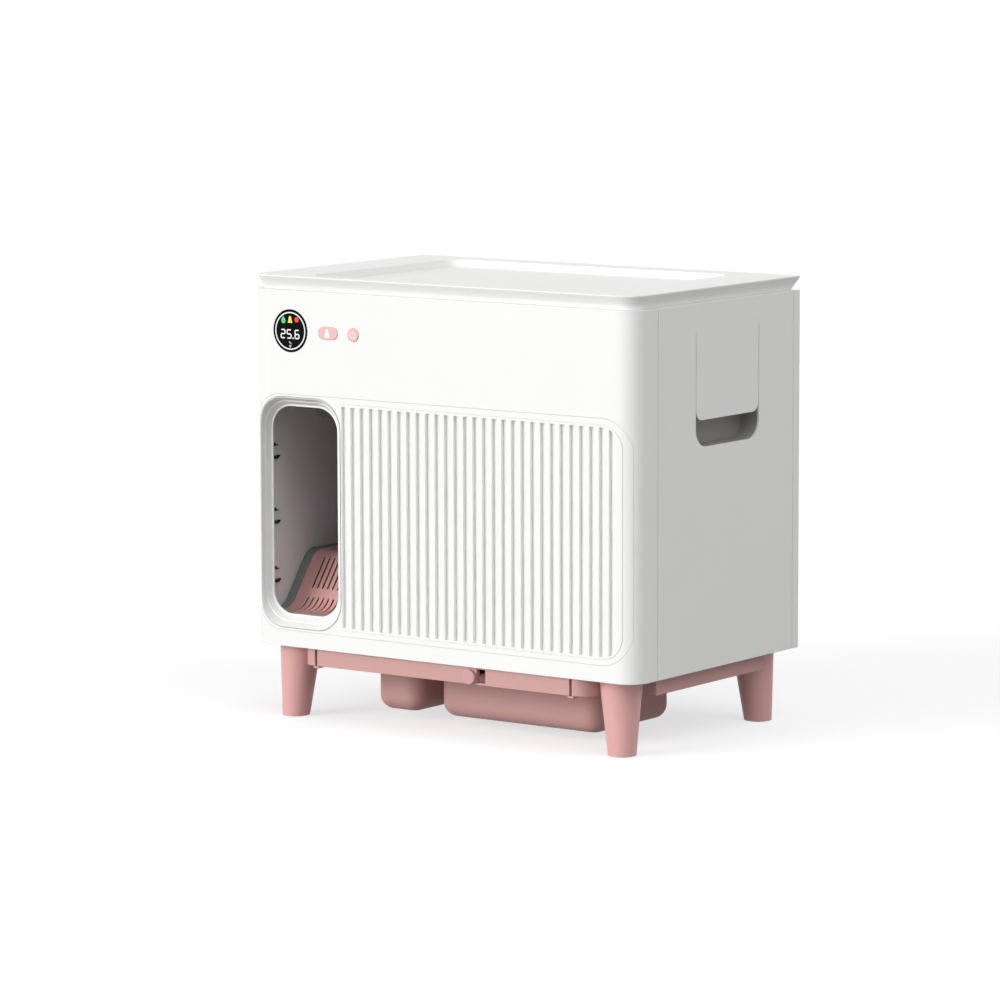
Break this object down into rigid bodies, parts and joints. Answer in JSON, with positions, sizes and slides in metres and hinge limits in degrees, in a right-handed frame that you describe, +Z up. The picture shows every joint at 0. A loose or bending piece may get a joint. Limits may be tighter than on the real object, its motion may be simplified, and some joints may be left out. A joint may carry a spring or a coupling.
{
  "type": "self-cleaning litter box",
  "caption": "Enclosed litter box on legs with a side entrance and ramp, a motor-driven sifting drum, a pull-out waste drawer, a lift-off tray lid and a display with buttons.",
  "frame": {"origin": "on the floor under the middle of the cabinet", "axes": "+X to the right of someone facing the front, +Y to the rear, +Z up"},
  "size_m": [0.72, 0.451, 0.689],
  "materials": {
    "white_abs": "satin moulded",
    "grey_pp": "plain moulded",
    "slate_pp": "plain moulded",
    "pink_abs": "satin moulded",
    "button_abs": "gloss moulded",
    "black_glass": "tinted display window",
    "black_pa": "plain moulded",
    "gear_pom": "natural acetal",
    "board_fr4": "solder mask",
    "steel": "zinc plated",
    "motor_can": "zinc plated can",
    "rubber": "matt"
  },
  "bodies": {
    "cabinet": {"front_shell": "white_abs", "ribbed_panel": "white_abs", "entrance_ring": "white_abs", "side_panel_left": "white_abs", "side_panel_right": "white_abs", "rear_panel": "white_abs", "top_frame": "white_abs", "cabinet_floor": "grey_pp", "partition_wall": "grey_pp", "drive_bulkhead": "grey_pp", "waste_hopper": "grey_pp", "litter_slide": "grey_pp", "handle_cup_left": "grey_pp", "handle_cup_right": "grey_pp", "ramp_frame": "slate_pp", "leg_front_left": "pink_abs", "leg_rear_left": "pink_abs", "leg_front_right": "pink_abs", "leg_rear_right": "pink_abs", "front_rail_left": "pink_abs", "front_rail_right": "pink_abs", "side_rail_left": "pink_abs", "side_rail_right": "pink_abs", "rear_rail": "pink_abs", "drawer_runners": "pink_abs", "display_lens": "black_glass", "display_module": "black_pa", "panel_clips": "black_pa", "power_inlet": "black_pa", "button_switches": "black_pa", "axle_bush": "gear_pom", "control_board": "board_fr4", "leg_bolts": "steel", "board_screws": "steel", "rear_screws": "steel", "motor_screws": "steel", "roller_pins": "steel", "gear_motor": "motor_can", "foot_pads": "rubber", "motor_cable": "rubber"},
    "lid": {"lid_tray": "white_abs"},
    "drum": {"drum_shell": "grey_pp", "drum_entry_cap": "grey_pp", "drum_collar": "grey_pp", "drum_end_cap": "grey_pp", "drum_track": "gear_pom", "drum_axle": "steel", "drum_sieve": "slate_pp", "ring_gear": "gear_pom"},
    "pinion": {"drive_pinion": "gear_pom", "motor_shaft": "steel"},
    "front_roller": {"roller_front": "rubber"},
    "rear_roller": {"roller_rear": "rubber"},
    "drawer": {"drawer_frame": "pink_abs", "drawer_grip": "pink_abs", "waste_well": "pink_abs", "spill_well": "pink_abs"},
    "grille": {"ramp_grille": "pink_abs"},
    "clean_key": {"clean_button": "button_abs"},
    "power_key": {"power_button": "button_abs"}
  },
  "joints": [
    {"name": "drum_spin", "type": "hinge", "parent": "cabinet", "child": "drum", "pos_m": [0.07, 0, 0.405], "axis": [1, 0, 0], "continuous": true},
    {"name": "pinion_spin", "type": "hinge", "parent": "cabinet", "child": "pinion", "pos_m": [0.282, 0.16547, 0.26616], "axis": [1, 0, 0], "continuous": true},
    {"name": "front_roller_spin", "type": "hinge", "parent": "cabinet", "child": "front_roller", "pos_m": [-0.13, -0.12332, 0.24716], "axis": [1, 0, 0], "continuous": true},
    {"name": "rear_roller_spin", "type": "hinge", "parent": "cabinet", "child": "rear_roller", "pos_m": [-0.13, 0.12332, 0.24716], "axis": [1, 0, 0], "continuous": true},
    {"name": "drawer_slide", "type": "slide", "parent": "cabinet", "child": "drawer", "axis": [0, -1, 0], "range_m": [0, 0.23]},
    {"name": "lid_lift", "type": "slide", "parent": "cabinet", "child": "lid", "axis": [0, 0, 1], "range_m": [0, 0.2]},
    {"name": "grille_lift", "type": "slide", "parent": "cabinet", "child": "grille", "axis": [0, 0, 1], "range_m": [0, 0.12]},
    {"name": "clean_press", "type": "slide", "parent": "cabinet", "child": "clean_key", "axis": [0, 1, 0], "range_m": [0, 0.0015], "stiffness_N_per_m": 900},
    {"name": "power_press", "type": "slide", "parent": "cabinet", "child": "power_key", "axis": [0, 1, 0], "range_m": [0, 0.0015], "stiffness_N_per_m": 900}
  ],
  "couplings": [
    {"joint": "pinion_spin", "follows": "drum_spin", "ratio": -6.7143},
    {"joint": "front_roller_spin", "follows": "drum_spin", "ratio": -10.111},
    {"joint": "rear_roller_spin", "follows": "drum_spin", "ratio": -10.111}
  ]
}
